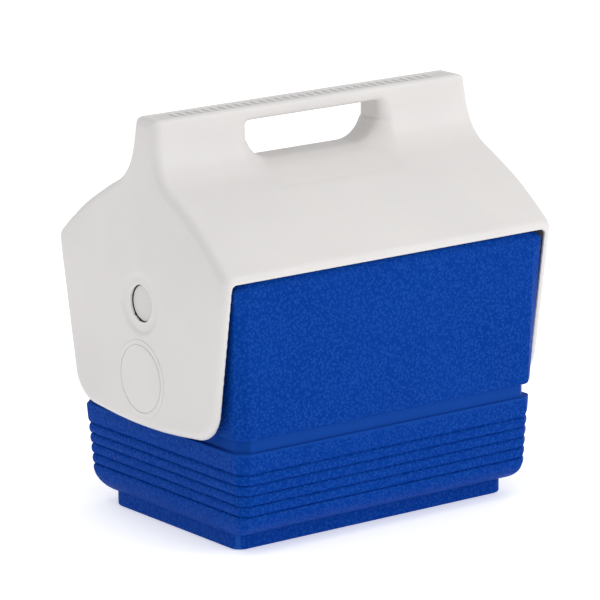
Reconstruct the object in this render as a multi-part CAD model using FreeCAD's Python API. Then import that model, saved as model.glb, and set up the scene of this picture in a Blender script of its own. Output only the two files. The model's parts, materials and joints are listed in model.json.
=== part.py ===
"""Two-way-opening personal cooler chest.

Millimetres, +Z up. X runs along the length (the push button is at the -X end) and Y across
the depth. The origin is the middle of the footprint, on the surface the chest stands on.
The tent lid swings to either side about one axis parallel to X, at PIVOT_Z.
"""
import FreeCAD, Part
import math
import os

from FreeCAD import Vector as V

# ---------------------------------------------------------------- driving dimensions
ARM_FACE_X = 124.0        # outer face of each lid arm: half of the overall length
HEIGHT = 255.5            # top of the handle
PIVOT_Z = 97.3            # hinge axis
LID_HALF_DEPTH = 88.7     # lid skirt, flush with the upper panels
PARTING_Z = 169.35        # lower edge of the lid's long sides
LID_WALL = 2.5
ARM_WALL = 2.8
SWING_RADIUS = 112.5      # everything inside the lid's sweep is smaller than this

BAND_HALF_X = 112.2       # lower band at its top edge
BAND_HALF_Y = 85.3
BAND_TOP_Z = 64.7
BAND_CORNER = 6.8         # leg of the 45 degree corner facets
BAND_DRAFT = 0.075        # inward slope, mm per mm of height
GROOVE_TOP_Z = 51.3
GROOVE_PITCH = 6.54
GROOVE_COUNT = 5
GROOVE_DEPTH = 1.5
END_ROLL = 7.0            # how far the underside rolls in at the ends
SIDE_ROLL = 15.0          # and along the sides and across the corners
RECESS_DEPTH = 3.0        # smooth band between the lower band and the upper panels

PANEL_BOTTOM_Z = 72.8
PANEL_TOP_Z = 164.5       # start of the bevel that runs up under the lid
FLANGE_Z = 167.2          # underside of the tub's flange, which lies inside the shell's edge
RIM_TOP_Z = 169.0
PANEL_BOTTOM = (112.6, 86.0)
PANEL_TOP = (116.0, 89.5)
RIM_EDGE = (112.4, 85.9)
LOW_FACET = (6.9, 6.9)    # corner facets of the panels at the bottom, along X and along Y
HIGH_FACET = (8.3, 2.6)   # and at the top

FOOT_HALF_X = 102.0
FOOT_HALF_Y = 65.8
FOOT_HEIGHT = 9.5
FOOT_CORNER = 7.0
SHELL_WALL = 2.6

TUB_TOP = (96.0, 72.0)    # inside of the liner at the rim
TUB_BOTTOM = (90.0, 64.0)
TUB_FLOOR_Z = 20.0
TUB_WALL = 1.8
TUB_CORNER = 10.0
TUB_FLOOR_RADIUS = 4.0

ROLL_INSIDE = (97.0, 70.0)  # space inside the band where its underside rolls in
ROLL_INSIDE_Z = 12.4
BASE_RECESS = 2.0         # hollow under the base, inside the foot's rim
BASE_RIM = 13.0
SHELL_FLOOR_Z = 4.6
PLUG_R = 9.0
PLUG_FLANGE = (11.5, 1.2)  # radius and thickness

HANDLE_HALF_Y = 10.9      # tent ridge, which is the handle's grip
RIDGE_HALF_X = 117.9
ARM_DEPTH = 6.2           # how far the arms' edges turn in
ARM_CORNER = 3.0          # rounding where an arm's edge meets the skirt
EDGE_RADIUS = 5.8         # rounding between the ends and the long sides
END_BEND = 20.0           # bend where the ends start to lean in

# End view of the lid, (y, z): the tent's curve, then the arm's corners
NECK = (12.7, 240.0)
SHOULDER = [(14.8, 231.0), (18.6, 223.6), (25.5, 216.6), (40.0, 208.7), (60.5, 196.5),
            (76.0, 184.6)]
SHOULDER_SLOPE = (0.759, -0.651)
BROW = (LID_HALF_DEPTH, 173.6)
SKIRT = (LID_HALF_DEPTH, PARTING_Z)
HEEL = (71.64, 71.36)
TOE = (0.0, 64.2)
RIDGE_RADIUS = 2.6
BROW_RADIUS = 7.5
SKIRT_RADIUS = 6.0
HEEL_RADIUS = 23.0
TOE_RADIUS = 400.0

TUNNEL_HALF_X = 52.0      # finger tunnel at its narrowest, on the centre plane
TUNNEL_TOP_Z = 247.0
TUNNEL_FLOOR_Z = 220.0
TUNNEL_CORNER = 19.0
TUNNEL_TOP_CORNER = 2.5
TUNNEL_FLARE = 8.5        # how far each side opens towards the mouths
FLARE_Y = (7.0, 20.0)     # where the flare starts and ends
TUNNEL_DROP = 6.5         # how far the floor falls towards the mouths
MOUTH_Y = 31.0            # where the tunnel's floor meets the lid's slope
TUNNEL_STATIONS = [0, 7, 11.5, 16, 20, 27, 36]

RIB_COUNT = 33            # raised grip ribs along the handle's top
RIB_PITCH = 6.0
RIB_WIDTH = 2.2
RIB_LENGTH = 8.0
STRIP_WIDTH = 12.0        # shallow strip that the ribs stand in
STRIP_DEPTH = 0.6
STRIP_MARGIN = 9.0        # from the strip's end to the end of the ridge

VAULT_HALF_X = 117.8      # inner panel of the lid
VAULT_HALF_Y = 43.0

PIN_R = 5.0
PIN_CLEARANCE = 0.06
PIN_END_X = 100.5
PIN_HEAD_X = 119.0
PIN_HEAD_R = 8.0
PIN_HEAD_LENGTH = 2.0
COUNTERBORE_R = 8.4
COUNTERBORE_X = 118.7
HUB_R = 12.5
HUB_START_X = 113.5
SOCKET_R = 11.0
SOCKET_PAD_R = 15.0
SOCKET_BOSS_R = 17.5
SOCKET_BOSS_X = 108.2
SOCKET_BACK_X = 98.5
SOCKET_SEAT_X = 110.5
SOCKET_FACE_X = 112.6
WASHER_THICKNESS = 0.6
CAP_R = 24.1
CAP_GAP = 0.2
CAP_SEAT_X = 122.4
CAP_SEAT_WALL = 2.0
CAP_FACE_X = 124.4
CAP_RING = (21.2, 20.6, 0.35)  # outer radius, inner radius and depth of the fine ring
CAP_SPIGOT = (1.8, 1.1)   # wall and length

BUTTON_Z = 143.5
BUTTON_R = 11.3
BUTTON_WALL = 2.0
BUTTON_FACE_X = 120.9     # just inside the arm, so that the lid swings past it
BUTTON_SHOULDER_X = 111.9
BUTTON_FLANGE = (12.3, 1.6)  # radius and thickness
BUTTON_FLAT = 10.6        # from the button's axis to the two flats on its head
FLAT_TILT = 24.0
FLAT_LENGTH = 8.0
GUIDE_R = 14.0
GUIDE_BORE_R = 12.5
GUIDE_CLEARANCE = 0.08
GUIDE_BACK_X = 101.8
GUIDE_LIP_X = 112.0
GUIDE_SEAT_X = 113.0
GUIDE_FACE_X = 114.2
GUIDE_FLANGE_R = 16.5
GUIDE_BOSS_R = 19.5
GUIDE_BOSS_X = 110.2
SEAT_FACE_X = 103.4
SEAT_BOSS = (5.5, 2.4)    # radius and height
SPRING_R = 7.4
SPRING_WIRE_R = 0.5
SPRING_TURNS = 5.5
SPRING_GAP = 0.05
DISH_R = 19.5             # thumb dish round the button
DISH_DEPTH = 1.4
DISH_FLARE = 4.0
BUTTON_HOLE_R = 11.6

INSIDE_X = 100.0          # stations just inside and just outside the end walls
OUTSIDE_X = 118.0
BEYOND_X = 130.0          # outside everything
EPS = 0.01


# ---------------------------------------------------------------- helpers
def octagon(half_x, half_y, cut_x, cut_y):
    """Corners of a rectangle with its corners cut off, anticlockwise."""
    return [(half_x, half_y - cut_y), (half_x - cut_x, half_y),
            (cut_x - half_x, half_y), (-half_x, half_y - cut_y),
            (-half_x, cut_y - half_y), (cut_x - half_x, -half_y),
            (half_x - cut_x, -half_y), (half_x, cut_y - half_y)]


def rounded_corner(before, corner, after, radius):
    """Start, middle and end of the arc that rounds a corner of an outline."""
    back = (before - corner).normalize()
    ahead = (after - corner).normalize()
    half_angle = back.getAngle(ahead) / 2
    reach = radius / math.tan(half_angle)
    bisector = (back + ahead).normalize()
    middle = corner + bisector * (radius / math.sin(half_angle) - radius)
    return corner + back * reach, middle, corner + ahead * reach


def rounded_outline(points, radii):
    """Closed wire through the points, each corner rounded by its own radius."""
    count = len(points)
    arcs = [rounded_corner(points[i - 1], points[i], points[(i + 1) % count], radii[i])
            for i in range(count)]
    edges = []
    for i, arc in enumerate(arcs):
        edges.append(Part.Arc(*arc).toShape())
        edges.append(Part.LineSegment(arc[2], arcs[(i + 1) % count][0]).toShape())
    return Part.Wire(edges)


def rounded_wire(corners, radius, z):
    return rounded_outline([V(x, y, z) for x, y in corners], [radius] * len(corners))


def ruled_solid(wires):
    return Part.makeLoft(wires, True, True)


def rectangle(half_x, half_y):
    return [(half_x, half_y), (-half_x, half_y), (-half_x, -half_y), (half_x, -half_y)]


def cylinder_x(radius, x_from, x_to, z, y=0.0):
    """Cylinder along X between two stations."""
    low = min(x_from, x_to)
    return Part.makeCylinder(radius, abs(x_to - x_from), V(low, y, z), V(1, 0, 0))


def ring_x(outer, inner, x_from, x_to, z):
    low = min(x_from, x_to) - EPS
    high = max(x_from, x_to) + EPS
    return cylinder_x(outer, x_from, x_to, z).cut(cylinder_x(inner, low, high, z))


def fuse_all(shapes):
    return shapes[0].multiFuse(shapes[1:]) if len(shapes) > 1 else shapes[0]


def mirrored_x(shape):
    return shape.mirror(V(0, 0, 0), V(1, 0, 0))


def save(shape, name):
    shape.exportStep("parts/" + name + ".step")


# ---------------------------------------------------------------- chest: outer shell
def band_draft(z):
    return BAND_DRAFT * (BAND_TOP_Z - z)


def band_side(half, roll_depth):
    """Side of the lower band, from its underside up to its top edge, at +half."""
    first = GROOVE_TOP_Z - (GROOVE_COUNT - 1) * GROOVE_PITCH
    grooves = [first + i * GROOVE_PITCH for i in range(GROOVE_COUNT)]
    roll_top = first - GROOVE_DEPTH
    roll_height = roll_top - FOOT_HEIGHT

    def at(z, inset=0.0):
        return (half - band_draft(z) - inset, z)

    def roll(angle):
        return at(roll_top - roll_height * math.sin(angle), roll_depth * (1 - math.cos(angle)))

    runs = [("arc", roll(math.pi / 2), roll(math.pi / 4), roll(0)),
            ("line", roll(0), at(first, GROOVE_DEPTH))]
    for low, high in zip(grooves, grooves[1:]):
        runs.append(("arc", at(low, GROOVE_DEPTH), at((low + high) / 2), at(high, GROOVE_DEPTH)))
    top = grooves[-1]
    shoulder = top + 2 * GROOVE_DEPTH
    runs.append(("arc", at(top, GROOVE_DEPTH), at(top + 0.8 * GROOVE_DEPTH, 0.4), at(shoulder)))
    runs.append(("line", at(shoulder), (half, BAND_TOP_Z)))
    return runs


def side_edges(runs, place):
    edges = []
    for run in runs:
        points = [place(*p) for p in run[1:]]
        if run[0] == "arc":
            edges.append(Part.Arc(*points).toShape())
        else:
            edges.append(Part.LineSegment(*points).toShape())
    return edges


def mitred_prism(half, roll_depth, angle, length):
    """Prism whose two opposite sides carry the band's profile, facing +-angle."""
    out = V(math.cos(angle), math.sin(angle), 0)
    along = V(-math.sin(angle), math.cos(angle), 0)
    offset = along * (-length / 2)
    runs = band_side(half, roll_depth)
    right = side_edges(runs, lambda d, z: out * d + offset + V(0, 0, z))
    left = side_edges(runs, lambda d, z: out * -d + offset + V(0, 0, z))
    low, high = runs[0][1], runs[-1][-1]
    floor = Part.LineSegment(out * -low[0] + offset + V(0, 0, low[1]),
                             out * low[0] + offset + V(0, 0, low[1])).toShape()
    top = Part.LineSegment(out * high[0] + offset + V(0, 0, high[1]),
                           out * -high[0] + offset + V(0, 0, high[1])).toShape()
    wire = Part.Wire(Part.__sortEdges__([floor] + right + [top] + left))
    return Part.Face(wire).extrude(along * length)


def lower_band():
    diagonal = (BAND_HALF_X + BAND_HALF_Y - BAND_CORNER) / math.sqrt(2)
    span = 4 * BAND_HALF_X
    solid = mitred_prism(BAND_HALF_X, END_ROLL, 0, span)
    for half, angle in ((BAND_HALF_Y, math.pi / 2), (diagonal, math.pi / 4),
                        (diagonal, 3 * math.pi / 4)):
        solid = solid.common(mitred_prism(half, SIDE_ROLL, angle, span))
    return solid


def body_outside():
    foot = ruled_solid([rounded_wire(rectangle(FOOT_HALF_X - 1.5, FOOT_HALF_Y - 1.5),
                                     FOOT_CORNER - 1.5, 0),
                        rounded_wire(rectangle(FOOT_HALF_X, FOOT_HALF_Y), FOOT_CORNER, 1.5),
                        rounded_wire(rectangle(FOOT_HALF_X, FOOT_HALF_Y), FOOT_CORNER,
                                     FOOT_HEIGHT + 1.5)])
    recess_plan = octagon(BAND_HALF_X - RECESS_DEPTH, BAND_HALF_Y - RECESS_DEPTH,
                          BAND_CORNER, BAND_CORNER)
    recess = ruled_solid([rounded_wire(recess_plan, 2.0, BAND_TOP_Z - 1),
                          rounded_wire(recess_plan, 2.0, PANEL_BOTTOM_Z + 1)])
    panels = ruled_solid([rounded_wire(octagon(*PANEL_BOTTOM, *LOW_FACET), 2.0, PANEL_BOTTOM_Z),
                          rounded_wire(octagon(*PANEL_TOP, *HIGH_FACET), 2.0, PANEL_TOP_Z),
                          rounded_wire(octagon(*RIM_EDGE, *HIGH_FACET), 2.0, RIM_TOP_Z)])
    return fuse_all([lower_band(), foot, recess, panels])


def band_inside(z):
    """Half sizes of the space inside the band, one wall in from the grooves."""
    return [half - band_draft(z) - GROOVE_DEPTH - SHELL_WALL
            for half in (BAND_HALF_X, BAND_HALF_Y)]


def tapered(low, high, z_low, z_high, low_facet=(BAND_CORNER, BAND_CORNER),
            high_facet=(BAND_CORNER, BAND_CORNER)):
    """Solid between two octagons given by their half sizes."""
    return ruled_solid([rounded_wire(octagon(*low, *low_facet), 1.2, z_low),
                        rounded_wire(octagon(*high, *high_facet), 1.2, z_high)])


def body_inside():
    """Space inside the outer shell, which the foam and the tub share."""
    foot_size = (FOOT_HALF_X - SHELL_WALL, FOOT_HALF_Y - SHELL_WALL)
    foot = tapered(foot_size, foot_size, SHELL_FLOOR_Z, ROLL_INSIDE_Z + 1.6,
                   (4.0, 4.0), (4.0, 4.0))
    roll_top = GROOVE_TOP_Z - (GROOVE_COUNT - 1) * GROOVE_PITCH - GROOVE_DEPTH
    roll = tapered(ROLL_INSIDE, band_inside(roll_top), ROLL_INSIDE_Z, roll_top)
    band_top = BAND_TOP_Z - SHELL_WALL
    band = tapered(band_inside(roll_top), band_inside(band_top), roll_top, band_top)
    recess_size = (BAND_HALF_X - RECESS_DEPTH - SHELL_WALL,
                   BAND_HALF_Y - RECESS_DEPTH - SHELL_WALL)
    panel_z = PANEL_BOTTOM_Z + SHELL_WALL
    recess = tapered(recess_size, recess_size, band_top - 1, panel_z)
    low, high, rim = [[size - SHELL_WALL for size in sizes]
                      for sizes in (PANEL_BOTTOM, PANEL_TOP, RIM_EDGE)]
    panels = tapered(low, high, panel_z, PANEL_TOP_Z - 1, LOW_FACET, HIGH_FACET)
    bevel = tapered(high, rim, PANEL_TOP_Z - 1, RIM_TOP_Z, HIGH_FACET, HIGH_FACET)
    return fuse_all([foot, roll, band, recess, panels, bevel])


def base_recess():
    """Shallow hollow under the base, so that the chest stands on the foot's rim."""
    low = rectangle(FOOT_HALF_X - BASE_RIM, FOOT_HALF_Y - BASE_RIM)
    high = rectangle(FOOT_HALF_X - BASE_RIM - BASE_RECESS,
                     FOOT_HALF_Y - BASE_RIM - BASE_RECESS)
    return ruled_solid([rounded_wire(low, 8.0, -1), rounded_wire(high, 7.0, BASE_RECESS)])


def end_bosses():
    """Thicker places inside the end walls, behind the hinge sockets and the button's guide."""
    bosses = [cylinder_x(GUIDE_BOSS_R, -GUIDE_BOSS_X, -GUIDE_FACE_X, BUTTON_Z)]
    for side in (-1, 1):
        bosses.append(cylinder_x(SOCKET_BOSS_R, side * SOCKET_BOSS_X, side * SOCKET_FACE_X,
                                 PIVOT_Z))
    return fuse_all(bosses)


def end_wall_holes():
    """Stepped holes for the hinge sockets and the button's guide."""
    holes = [cylinder_x(GUIDE_R, -INSIDE_X, -OUTSIDE_X, BUTTON_Z),
             cylinder_x(GUIDE_FLANGE_R + 0.2, -GUIDE_SEAT_X, -OUTSIDE_X, BUTTON_Z)]
    for side in (-1, 1):
        outside = side * OUTSIDE_X
        holes.append(cylinder_x(SOCKET_PAD_R, side * SOCKET_SEAT_X, outside, PIVOT_Z))
        holes.append(cylinder_x(SOCKET_R, side * INSIDE_X, outside, PIVOT_Z))
    return holes


def outer_shell():
    """Blue shell, open at the top, with its floor hollowed inside the foot's rim."""
    shell = body_outside().cut(body_inside()).fuse(end_bosses()).cut(end_wall_holes())
    plug_hole = Part.makeCylinder(PLUG_R, 20, V(0, 0, -1))
    return shell.cut([base_recess(), plug_hole])


def foam_plug():
    radius, thickness = PLUG_FLANGE
    stem = Part.makeCylinder(PLUG_R, SHELL_FLOOR_Z - BASE_RECESS, V(0, 0, BASE_RECESS))
    flange = Part.makeCylinder(radius, thickness, V(0, 0, BASE_RECESS - thickness))
    return stem.fuse(flange)


# ---------------------------------------------------------------- chest: tub and foam
def tub(grow, floor_z, top_z):
    """Tapered tub whose walls stand grow outside the tub's inner faces."""
    def plan(z):
        share = (z - TUB_FLOOR_Z) / (RIM_TOP_Z - TUB_FLOOR_Z)
        sizes = [low + (high - low) * share + grow for low, high in zip(TUB_BOTTOM, TUB_TOP)]
        return rounded_wire(rectangle(*sizes), TUB_CORNER + grow, z)

    solid = ruled_solid([plan(floor_z), plan(top_z)])
    floor_edges = [edge for edge in solid.Edges if edge.BoundBox.ZMax < floor_z + 0.1]
    return solid.makeFillet(TUB_FLOOR_RADIUS + grow, floor_edges)


def rim_flange():
    """Flange of the tub, which fills the shell's mouth."""
    slab = Part.makeBox(400, 300, RIM_TOP_Z - FLANGE_Z, V(-200, -150, FLANGE_Z))
    return body_inside().common(slab)


def inner_liner():
    outside = tub(TUB_WALL, TUB_FLOOR_Z - TUB_WALL, RIM_TOP_Z)
    return outside.fuse(rim_flange()).cut(tub(0, TUB_FLOOR_Z, RIM_TOP_Z + 1))


def body_insulation():
    above = Part.makeBox(400, 300, 100, V(-200, -150, FLANGE_Z))
    voids = [above, tub(TUB_WALL, TUB_FLOOR_Z - TUB_WALL, RIM_TOP_Z + 1),
             cylinder_x(GUIDE_R, -GUIDE_BACK_X, -OUTSIDE_X, BUTTON_Z)]
    for side in (-1, 1):
        voids.append(cylinder_x(SOCKET_R, side * SOCKET_BACK_X, side * OUTSIDE_X, PIVOT_Z))
    return body_inside().cut(fuse_all(voids)).cut(end_bosses())


# ---------------------------------------------------------------- hinge
def pivot_socket():
    body = cylinder_x(SOCKET_R, SOCKET_BACK_X, SOCKET_SEAT_X, PIVOT_Z)
    pad = cylinder_x(SOCKET_PAD_R, SOCKET_SEAT_X, SOCKET_FACE_X, PIVOT_Z)
    return body.fuse(pad).cut(cylinder_x(PIN_R, PIN_END_X, OUTSIDE_X, PIVOT_Z))


def pivot_pin():
    face_x = PIN_HEAD_X + PIN_HEAD_LENGTH
    shank = cylinder_x(PIN_R, PIN_END_X, PIN_HEAD_X, PIVOT_Z)
    head = cylinder_x(PIN_HEAD_R, PIN_HEAD_X, face_x, PIVOT_Z)
    rim = [edge for edge in head.Edges if edge.BoundBox.XMin > face_x - EPS]
    return shank.fuse(head.makeFillet(0.6, rim))


def pivot_washer():
    return ring_x(HUB_R, PIN_R + 0.2, SOCKET_FACE_X, SOCKET_FACE_X + WASHER_THICKNESS, PIVOT_Z)


def pivot_cap():
    """Round cap over the pin: a disc with a fine ring in its face and a spigot behind."""
    ring_outer, ring_inner, ring_depth = CAP_RING
    spigot_wall, spigot_length = CAP_SPIGOT
    disc = cylinder_x(CAP_R, CAP_SEAT_X, CAP_FACE_X, PIVOT_Z)
    rim = [edge for edge in disc.Edges if edge.BoundBox.XMin > CAP_FACE_X - EPS]
    disc = disc.makeFillet(0.5, rim)
    ring = ring_x(ring_outer, ring_inner, CAP_FACE_X - ring_depth, CAP_FACE_X + 1, PIVOT_Z)
    spigot = ring_x(COUNTERBORE_R, COUNTERBORE_R - spigot_wall, CAP_SEAT_X - spigot_length,
                    CAP_SEAT_X, PIVOT_Z)
    return disc.cut(ring).fuse(spigot)


# ---------------------------------------------------------------- button
def push_button():
    """Cup-shaped button with a flange behind and two chord flats on its head."""
    flange_r, flange_thickness = BUTTON_FLANGE
    head = cylinder_x(BUTTON_R, -BUTTON_SHOULDER_X, -BUTTON_FACE_X, BUTTON_Z)
    rim = [edge for edge in head.Edges if edge.BoundBox.XMax < -BUTTON_FACE_X + EPS]
    head = head.makeFillet(0.9, rim)
    flange = cylinder_x(flange_r, -BUTTON_SHOULDER_X, flange_thickness - BUTTON_SHOULDER_X,
                        BUTTON_Z)
    hollow = cylinder_x(BUTTON_R - BUTTON_WALL, BUTTON_WALL - BUTTON_SHOULDER_X,
                        BUTTON_WALL - BUTTON_FACE_X, BUTTON_Z)
    button = head.fuse(flange).cut(hollow)
    for angle in (FLAT_TILT, FLAT_TILT + 180):
        flat = Part.makeBox(FLAT_LENGTH, 40, 10, V(-BUTTON_FACE_X, -20, BUTTON_FLAT))
        flat.rotate(V(0, 0, 0), V(1, 0, 0), angle)
        flat.translate(V(0, 0, BUTTON_Z))
        button = button.cut(flat)
    return button


def button_guide():
    tube = cylinder_x(GUIDE_R, -GUIDE_BACK_X, -GUIDE_SEAT_X, BUTTON_Z)
    flange = cylinder_x(GUIDE_FLANGE_R, -GUIDE_SEAT_X, -GUIDE_FACE_X, BUTTON_Z)
    rim = [edge for edge in flange.Edges if edge.BoundBox.XMax < -GUIDE_FACE_X + EPS]
    guide = tube.fuse(flange.makeFillet(0.5, rim))
    bore = cylinder_x(GUIDE_BORE_R, -INSIDE_X, -GUIDE_LIP_X, BUTTON_Z)
    mouth = cylinder_x(BUTTON_R + GUIDE_CLEARANCE, -INSIDE_X, -OUTSIDE_X, BUTTON_Z)
    return guide.cut([bore, mouth])


def button_spring_seat():
    boss_r, boss_height = SEAT_BOSS
    plate = cylinder_x(GUIDE_BORE_R, -GUIDE_BACK_X, -SEAT_FACE_X, BUTTON_Z)
    return plate.fuse(cylinder_x(boss_r, -SEAT_FACE_X, -SEAT_FACE_X - boss_height, BUTTON_Z))


def button_spring():
    """Helical spring between the seat and the inside of the button's face."""
    end_gap = SPRING_WIRE_R + SPRING_GAP
    length = BUTTON_FACE_X - BUTTON_WALL - SEAT_FACE_X - 2 * end_gap
    helix = Part.makeHelix(length / SPRING_TURNS, length, SPRING_R)
    section = Part.Wire(Part.Circle(V(SPRING_R, 0, 0), V(0, 1, 0), SPRING_WIRE_R).toShape())
    spring = Part.Wire(helix.Edges).makePipeShell([section], True, True)
    spring.rotate(V(0, 0, 0), V(0, 1, 0), -90)
    spring.translate(V(-SEAT_FACE_X - end_gap, 0, BUTTON_Z))
    return spring


# ---------------------------------------------------------------- lid
def inset_corner(before, corner, after, inset):
    """Where a corner goes when both sides of an outline move inwards."""
    back = (before - corner).normalize()
    ahead = (after - corner).normalize()
    bisector = (back + ahead).normalize()
    return corner + bisector * (inset / math.sin(back.getAngle(ahead) / 2))


def inset_point(curve, point, inset):
    """A point of the tent's curve, moved inwards along the curve's normal."""
    along = curve.tangent(curve.parameter(point))[0]
    return point - V(0, -along.z, along.y) * inset


def shoulder_curve(points):
    """Smooth curve down the tent's shoulder, in line with the neck and the slope."""
    curve = Part.BSplineCurve()
    neck_slope = at_end(*NECK) - at_end(HANDLE_HALF_Y, HEIGHT)
    curve.interpolate(points, InitialTangent=neck_slope.normalize(),
                      FinalTangent=at_end(*SHOULDER_SLOPE))
    return curve


def at_end(y, z):
    return V(0, y, z)


def inset_all(corners, inset):
    """The same corners when every side of the outline moves inwards."""
    moved = []
    for before, corner, after, radius in corners:
        inner = inset_corner(before, corner, after, inset)
        shift = inner - corner
        moved.append((before + shift, inner, after + shift, max(radius - inset, 0.6)))
    return moved


def lid_outline(inset=0.0):
    """End view of the whole lid, tent above and arms below, or its inside by the inset."""
    ridge, neck, brow, skirt, heel, toe = [
        at_end(*point) for point in ((HANDLE_HALF_Y, HEIGHT), NECK, BROW, SKIRT, HEEL, TOE)]
    above_brow = brow - at_end(*SHOULDER_SLOPE)
    corners = [(at_end(0, HEIGHT), ridge, neck, RIDGE_RADIUS),
               (above_brow, brow, skirt, BROW_RADIUS),
               (brow, skirt, heel, SKIRT_RADIUS),
               (skirt, heel, toe, HEEL_RADIUS),
               (heel, toe, at_end(-heel.y, heel.z), TOE_RADIUS)]
    brow_start = rounded_corner(*corners[1])[0]
    stations = [neck] + [at_end(*point) for point in SHOULDER] + [brow_start]
    curve = shoulder_curve(stations)
    if inset:
        curve = shoulder_curve([inset_point(curve, point, inset) for point in stations])
        corners = inset_all(corners, inset)
    ridge_arc, brow_arc, skirt_arc, heel_arc, toe_arc = [
        rounded_corner(*corner) for corner in corners]
    half = [Part.Arc(*ridge_arc),
            Part.LineSegment(ridge_arc[2], curve.StartPoint),
            curve,
            Part.Arc(curve.EndPoint, brow_arc[1], brow_arc[2]),
            Part.LineSegment(brow_arc[2], skirt_arc[0]),
            Part.Arc(*skirt_arc),
            Part.LineSegment(skirt_arc[2], heel_arc[0]),
            Part.Arc(*heel_arc),
            Part.LineSegment(heel_arc[2], toe_arc[0])]
    near = [edge.toShape() for edge in half]
    far = [edge.mirror(V(0, 0, 0), V(0, 1, 0)) for edge in near]
    top_start = ridge_arc[0]
    top = Part.LineSegment(at_end(-top_start.y, top_start.z), top_start).toShape()
    bottom = Part.Arc(*toe_arc).toShape()
    return Part.Wire(Part.__sortEdges__([top, bottom] + near + far))


def end_slab(inset):
    """Space between the lid's two end faces, which lean in above the parting line."""
    lean = (ARM_FACE_X - RIDGE_HALF_X) / (HEIGHT - PARTING_Z)
    above = 30.0
    tip_x = RIDGE_HALF_X - inset - lean * above
    foot_x = ARM_FACE_X - inset
    bend = rounded_corner(V(foot_x, 0, 0), V(foot_x, 0, PARTING_Z),
                          V(tip_x, 0, HEIGHT + above), END_BEND)

    def flip(point):
        return V(-point.x, 0, point.z)

    low = V(foot_x, 0, 0)
    tip = V(tip_x, 0, HEIGHT + above)
    edges = [Part.LineSegment(flip(low), low),
             Part.LineSegment(low, bend[0]),
             Part.Arc(*bend),
             Part.LineSegment(bend[2], tip),
             Part.LineSegment(tip, flip(tip)),
             Part.LineSegment(flip(tip), flip(bend[2])),
             Part.Arc(*[flip(point) for point in reversed(bend)]),
             Part.LineSegment(flip(bend[0]), flip(low))]
    wire = Part.Wire([edge.toShape() for edge in edges])
    solid = Part.Face(wire).extrude(V(0, 400, 0))
    solid.translate(V(0, -200, 0))
    return solid


def lid_prism(outline, inset):
    solid = Part.Face(outline).extrude(V(2 * ARM_FACE_X + 4, 0, 0))
    solid.translate(V(-ARM_FACE_X - 2, 0, 0))
    return solid.common(end_slab(inset))


def tunnel_section(y, grow):
    """Section of the finger tunnel at a depth y, grown outwards on every side."""
    flare_start, flare_end = FLARE_Y
    ramp = min(max((abs(y) - flare_start) / (flare_end - flare_start), 0.0), 1.0)
    side = TUNNEL_HALF_X + TUNNEL_FLARE * ramp * ramp * (3 - 2 * ramp) + grow
    floor = TUNNEL_FLOOR_Z - TUNNEL_DROP * (y / MOUTH_Y) ** 2 - grow
    top = TUNNEL_TOP_Z + grow
    low_r = TUNNEL_CORNER + grow
    high_r = TUNNEL_TOP_CORNER + grow
    corners = [V(-side, y, floor), V(side, y, floor), V(side, y, top), V(-side, y, top)]
    return rounded_outline(corners, [low_r, low_r, high_r, high_r])


def tunnel(grow):
    """Finger tunnel through the handle, along Y, opening out towards both mouths."""
    near = Part.makeLoft([tunnel_section(y, grow) for y in TUNNEL_STATIONS], True, False)
    far = Part.makeLoft([tunnel_section(-y, grow) for y in TUNNEL_STATIONS], True, False)
    return near.fuse(far)


def on_end_outline(edge):
    """True for the edges that run round an end face, false for those across it."""
    box = edge.BoundBox
    middle = edge.valueAt((edge.FirstParameter + edge.LastParameter) / 2)
    at_an_end = abs(box.XMin) > RIDGE_HALF_X - 1 and box.XLength < EDGE_RADIUS + 1
    across = abs(middle.y) < HANDLE_HALF_Y - 3 and 100 < middle.z < HEIGHT - 1
    return at_an_end and not across


def lid_outside():
    """Solid tent and arms, with rounded ends, open between the arms."""
    solid = lid_prism(lid_outline(), 0)
    ends = [edge for edge in solid.Edges if on_end_outline(edge)]
    solid = solid.makeFillet(EDGE_RADIUS, ends)
    inner_x = ARM_FACE_X - ARM_DEPTH
    between = Part.makeBox(2 * inner_x, 300, PARTING_Z, V(-inner_x, -150, 0))
    top_edges = [edge for edge in between.Edges
                 if edge.BoundBox.YLength > 200 and edge.BoundBox.ZMin > PARTING_Z - 1]
    return solid.cut(between.makeFillet(ARM_CORNER, top_edges))


def arm_hub():
    """Hub inside an arm: it runs on the pin and backs the seat of the cap."""
    hub = cylinder_x(HUB_R, HUB_START_X, CAP_SEAT_X, PIVOT_Z)
    backing = cylinder_x(CAP_R + CAP_SEAT_WALL, CAP_SEAT_X - CAP_SEAT_WALL, CAP_SEAT_X, PIVOT_Z)
    return hub.fuse(backing)


def arm_bores():
    bore = cylinder_x(PIN_R + PIN_CLEARANCE, INSIDE_X, BEYOND_X, PIVOT_Z)
    counterbore = cylinder_x(COUNTERBORE_R, COUNTERBORE_X, BEYOND_X, PIVOT_Z)
    seat = cylinder_x(CAP_R + CAP_GAP, CAP_SEAT_X, BEYOND_X, PIVOT_Z)
    return fuse_all([bore, counterbore, seat])


def button_dish():
    """Thumb dish and button hole in the left arm."""
    dish = Part.makeCone(DISH_R, DISH_R - DISH_FLARE, DISH_DEPTH,
                         V(-ARM_FACE_X, 0, BUTTON_Z), V(1, 0, 0))
    return dish.fuse(cylinder_x(BUTTON_HOLE_R, -INSIDE_X, -BEYOND_X, BUTTON_Z))


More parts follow.
